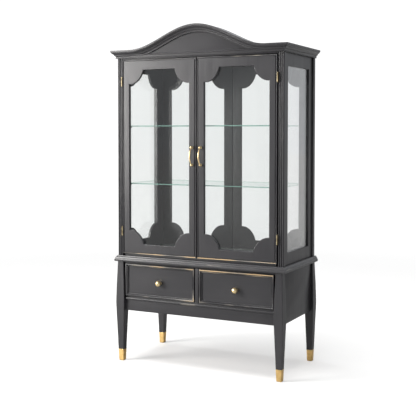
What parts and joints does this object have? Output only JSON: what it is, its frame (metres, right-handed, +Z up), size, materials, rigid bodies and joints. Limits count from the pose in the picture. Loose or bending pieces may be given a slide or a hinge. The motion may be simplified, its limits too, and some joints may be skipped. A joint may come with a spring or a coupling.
{
  "type": "curio cabinet",
  "caption": "Tall glazed curio cabinet with an arched pediment, hinged glass doors with shaped corners, glass shelves and drawers on tapered legs with brass ferrules.",
  "frame": {"origin": "on the floor, under the middle of the bounding box", "axes": "+X to the cabinet's left-hand neighbour seen from behind, that is to the viewer's right when facing the doors; +Y to the back; +Z up. The doors and drawers face -Y."},
  "size_m": [1.0832, 0.5454, 1.912],
  "materials": {
    "charcoal_paint": "satin charcoal paint on hardwood, gold-brown wood showing where the bead edges are rubbed through",
    "brass": "polished and lacquered",
    "clear_glass": "clear float glass, 4 mm",
    "shelf_glass": "clear float glass, 5 mm, green edges",
    "floor_glass": "dark glossy glass sheet over the cabinet floor",
    "drawer_wood": "clear-finished drawer timber"
  },
  "bodies": {
    "cabinet": {"apron_bead": "charcoal_paint", "back_frame_left": "charcoal_paint", "back_frame_right": "charcoal_paint", "back_glass_left": "clear_glass", "back_glass_right": "clear_glass", "base_back": "charcoal_paint", "base_side_left": "charcoal_paint", "base_side_right": "charcoal_paint", "cabinet_floor": "charcoal_paint", "cabinet_top": "charcoal_paint", "crown_front": "charcoal_paint", "crown_left": "charcoal_paint", "crown_right": "charcoal_paint", "drawer_divider": "charcoal_paint", "dust_panel": "drawer_wood", "ferrule_front_left": "brass", "ferrule_front_right": "brass", "ferrule_rear_left": "brass", "ferrule_rear_right": "brass", "floor_glass": "floor_glass", "frieze_bead": "charcoal_paint", "front_apron": "charcoal_paint", "hinge_post_leaf_left_lower": "brass", "hinge_post_leaf_left_upper": "brass", "hinge_post_leaf_right_lower": "brass", "hinge_post_leaf_right_upper": "brass", "leg_front_left": "charcoal_paint", "leg_front_right": "charcoal_paint", "leg_rear_left": "charcoal_paint", "leg_rear_right": "charcoal_paint", "pediment_board": "charcoal_paint", "pediment_cap": "charcoal_paint", "post_front_left": "charcoal_paint", "post_front_right": "charcoal_paint", "post_rear_left": "charcoal_paint", "post_rear_right": "charcoal_paint", "shelf_lower": "shelf_glass", "shelf_upper": "shelf_glass", "side_frame_left": "charcoal_paint", "side_frame_right": "charcoal_paint", "side_glass_left": "clear_glass", "side_glass_right": "clear_glass", "top_rail": "charcoal_paint", "waist_moulding": "charcoal_paint"},
    "door_left": {"door_frame_left": "charcoal_paint", "door_glass_left": "clear_glass", "door_pull_left": "brass", "hinge_door_leaf_left_lower": "brass", "hinge_door_leaf_left_upper": "brass"},
    "door_right": {"door_frame_right": "charcoal_paint", "door_glass_right": "clear_glass", "door_pull_right": "brass", "hinge_door_leaf_right_lower": "brass", "hinge_door_leaf_right_upper": "brass"},
    "drawer_left": {"drawer_front_left": "charcoal_paint", "drawer_knob_left": "brass", "drawer_tray_left": "drawer_wood"},
    "drawer_right": {"drawer_front_right": "charcoal_paint", "drawer_knob_right": "brass", "drawer_tray_right": "drawer_wood"}
  },
  "joints": [
    {"name": "left_door_hinge", "type": "hinge", "parent": "cabinet", "child": "door_left", "pos_m": [-0.478, -0.24197, 1.182], "axis": [0, 0, -1], "range_deg": [0, 110]},
    {"name": "right_door_hinge", "type": "hinge", "parent": "cabinet", "child": "door_right", "pos_m": [0.478, -0.24197, 1.182], "axis": [0, 0, 1], "range_deg": [0, 110]},
    {"name": "left_drawer_slide", "type": "slide", "parent": "cabinet", "child": "drawer_left", "axis": [0, -1, 0], "range_m": [0, 0.3]},
    {"name": "right_drawer_slide", "type": "slide", "parent": "cabinet", "child": "drawer_right", "axis": [0, -1, 0], "range_m": [0, 0.3]}
  ]
}
